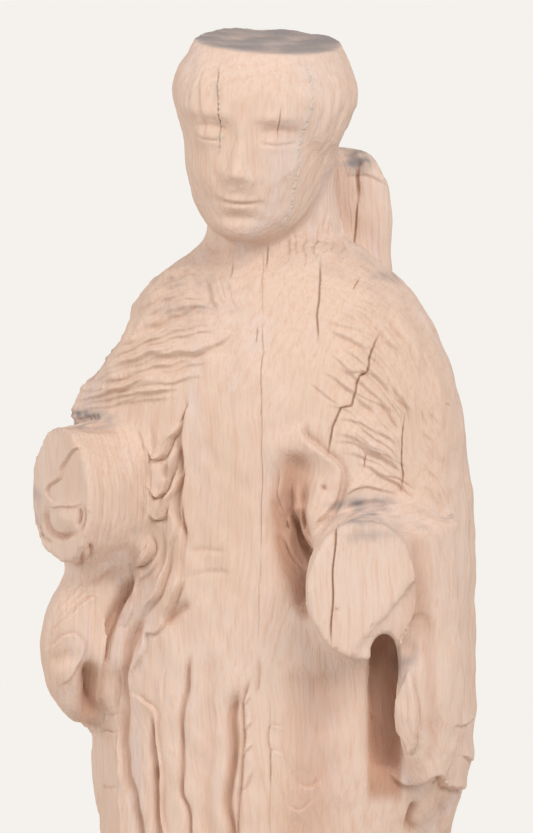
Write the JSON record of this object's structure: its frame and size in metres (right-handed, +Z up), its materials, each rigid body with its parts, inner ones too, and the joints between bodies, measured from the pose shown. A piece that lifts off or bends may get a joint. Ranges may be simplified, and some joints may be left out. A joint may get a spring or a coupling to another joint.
{
  "type": "carved wooden madonna statue",
  "caption": "Standing robed madonna in pale stripped wood, hands and crown lost, on a chamfered plinth.",
  "frame": {"origin": "middle of the plinth's underside", "axes": "+Z up, the figure faces -Y, its left side is +X"},
  "size_m": [0.364, 0.344, 1.1615],
  "materials": {
    "carved_wood": "bare, stripped and bleached, dry matt grain",
    "plinth_wood": "bare, planed, dry matt grain",
    "peg_wood": "bare, cut end grain"
  },
  "bodies": {
    "root": {"right_board": "carved_wood", "centre_board": "carved_wood", "left_board": "carved_wood", "left_mantle_block": "carved_wood", "back_board": "carved_wood", "head_block": "carved_wood", "face_mask": "carved_wood", "veil_stump": "carved_wood", "right_forearm": "carved_wood", "left_forearm": "carved_wood", "right_sleeve_fall": "carved_wood", "left_sleeve_fall": "carved_wood", "plinth": "plinth_wood", "right_seam_peg_1": "peg_wood", "right_seam_peg_2": "peg_wood", "right_seam_peg_3": "peg_wood", "front_seam_peg_1": "peg_wood", "front_seam_peg_2": "peg_wood", "front_seam_peg_3": "peg_wood", "left_seam_peg_1": "peg_wood", "left_seam_peg_2": "peg_wood", "left_seam_peg_3": "peg_wood", "right_arm_peg_1": "peg_wood", "right_arm_peg_2": "peg_wood", "left_arm_peg_1": "peg_wood", "left_arm_peg_2": "peg_wood", "right_fall_peg": "peg_wood", "left_fall_peg": "peg_wood", "veil_peg_right": "peg_wood", "veil_peg_left": "peg_wood", "mask_peg_right": "peg_wood", "mask_peg_left": "peg_wood", "plinth_peg_right": "peg_wood", "plinth_peg_left": "peg_wood", "back_peg_right_1": "peg_wood", "back_peg_right_2": "peg_wood", "back_peg_right_3": "peg_wood", "back_peg_left_1": "peg_wood", "back_peg_left_2": "peg_wood", "back_peg_left_3": "peg_wood", "right_hand_dowel": "peg_wood", "left_hand_dowel": "peg_wood"}
  },
  "joints": []
}
